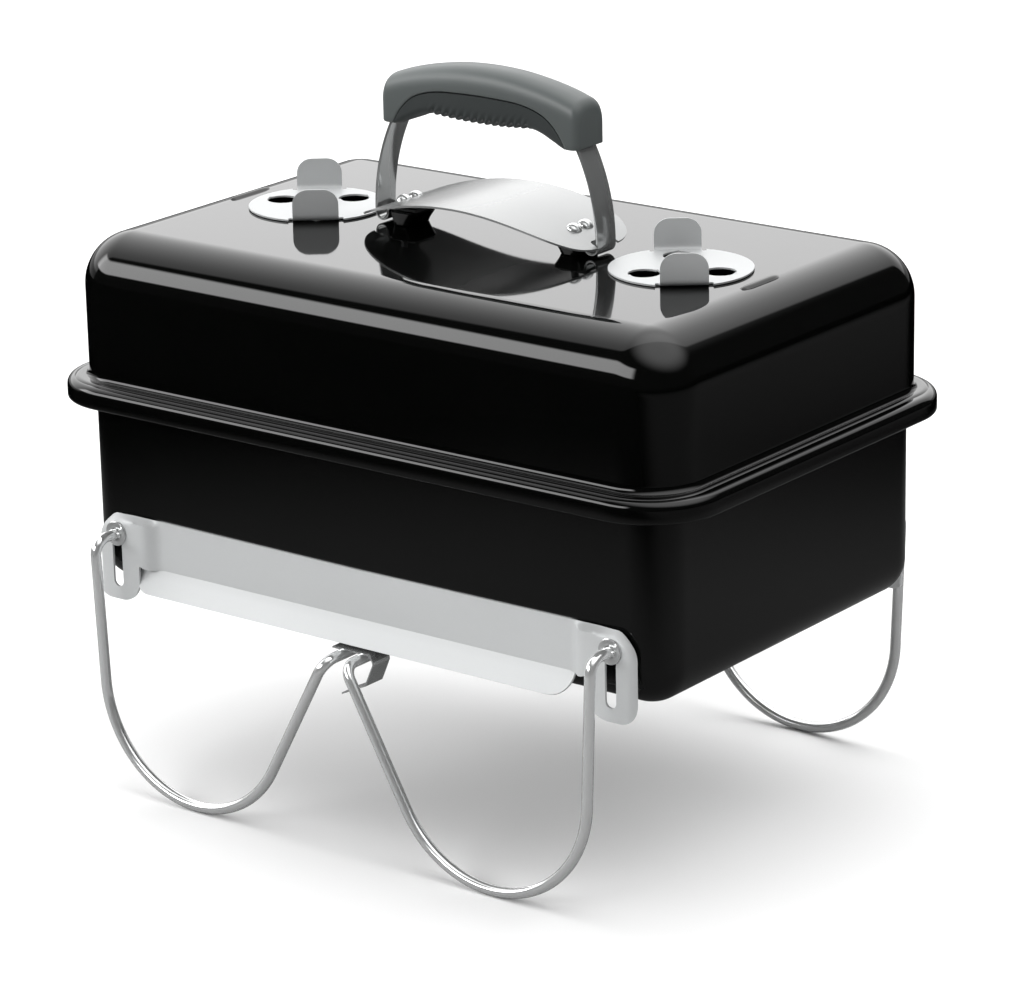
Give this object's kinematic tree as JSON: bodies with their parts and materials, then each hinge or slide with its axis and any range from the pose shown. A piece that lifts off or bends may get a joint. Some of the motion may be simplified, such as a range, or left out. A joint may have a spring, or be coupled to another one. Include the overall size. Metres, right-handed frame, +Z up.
{
  "type": "portable tabletop grill",
  "caption": "Rectangular lidded charcoal grill with a deep black bowl and lid, turning air dampers, an arched carrying handle over a heat shield, lift-out grates and looped wire legs.",
  "frame": {"origin": "middle of the grill in plan, on the table top that the foot loops stand on", "axes": "+X to the right along the long side as seen from the front, -Y towards the front, +Z up"},
  "size_m": [0.458, 0.317, 0.4306],
  "materials": {
    "black_enamel": "glossy black enamel",
    "satin_aluminium": "satin sheet",
    "plated_wire": "bright plated wire",
    "polished_sheet": "polished sheet",
    "strap_steel": "bright plated strip",
    "grip_cover": "fine satin grain, mid grey",
    "grip_insert": "fine satin grain, darker grey",
    "clip_steel": "dark spring steel",
    "fasteners": "plated",
    "standoff_black": "satin black moulding",
    "grate_wire": "plated rods",
    "grate_steel": "plain steel rods",
    "support_steel": "plain steel sheet"
  },
  "bodies": {
    "firebox": {"bowl": "black_enamel", "front_leg_bracket": "satin_aluminium", "rear_leg_bracket": "satin_aluminium", "left_grate_support": "support_steel", "right_grate_support": "support_steel", "left_bottom_rivet": "fasteners", "right_bottom_rivet": "fasteners"},
    "left_bottom_damper": {"left_bottom_damper": "satin_aluminium"},
    "right_bottom_damper": {"right_bottom_damper": "satin_aluminium"},
    "charcoal_grate": {"charcoal_grate": "grate_steel"},
    "cooking_grate": {"cooking_grate": "grate_wire"},
    "front_leg": {"front_leg": "plated_wire", "front_leg_clip": "clip_steel", "front_leg_washers": "fasteners"},
    "rear_leg": {"rear_leg": "plated_wire", "rear_leg_clip": "clip_steel", "rear_leg_washers": "fasteners"},
    "lid": {"lid": "black_enamel", "left_lid_rivet": "fasteners", "right_lid_rivet": "fasteners", "heat_shield": "polished_sheet", "left_standoff": "standoff_black", "right_standoff": "standoff_black", "handle_strap": "strap_steel", "handle_grip_cover": "grip_cover", "handle_grip_insert": "grip_insert", "left_handle_screws": "fasteners", "right_handle_screws": "fasteners", "left_handle_nuts": "fasteners", "right_handle_nuts": "fasteners"},
    "left_lid_damper": {"left_lid_damper": "satin_aluminium"},
    "right_lid_damper": {"right_lid_damper": "satin_aluminium"}
  },
  "joints": [
    {"name": "lid_lift", "type": "slide", "parent": "firebox", "child": "lid", "axis": [0, 0, 1], "range_m": [0, 0.28]},
    {"name": "cooking_grate_lift", "type": "slide", "parent": "firebox", "child": "cooking_grate", "axis": [0, 0, 1], "range_m": [0, 0.14]},
    {"name": "charcoal_grate_lift", "type": "slide", "parent": "firebox", "child": "charcoal_grate", "axis": [0, 0, 1], "range_m": [0, 0.084]},
    {"name": "left_lid_damper_turn", "type": "hinge", "parent": "lid", "child": "left_lid_damper", "pos_m": [-0.132, 0, 0.331], "axis": [0, 0, 1], "range_deg": [0, 60]},
    {"name": "right_lid_damper_turn", "type": "hinge", "parent": "lid", "child": "right_lid_damper", "pos_m": [0.132, 0, 0.331], "axis": [0, 0, 1], "range_deg": [0, 60]},
    {"name": "left_bottom_damper_turn", "type": "hinge", "parent": "firebox", "child": "left_bottom_damper", "pos_m": [-0.112, 0, 0.118], "axis": [0, 0, 1], "range_deg": [0, 60]},
    {"name": "right_bottom_damper_turn", "type": "hinge", "parent": "firebox", "child": "right_bottom_damper", "pos_m": [0.112, 0, 0.118], "axis": [0, 0, 1], "range_deg": [0, 60]},
    {"name": "front_leg_drop", "type": "slide", "parent": "firebox", "child": "front_leg", "axis": [0, 0, 1], "range_m": [-0.029, 0]},
    {"name": "rear_leg_drop", "type": "slide", "parent": "firebox", "child": "rear_leg", "axis": [0, 0, 1], "range_m": [-0.029, 0]}
  ],
  "couplings": [
    {"joint": "cooking_grate_lift", "follows": "lid_lift", "ratio": 0.5},
    {"joint": "charcoal_grate_lift", "follows": "lid_lift", "ratio": 0.3}
  ]
}
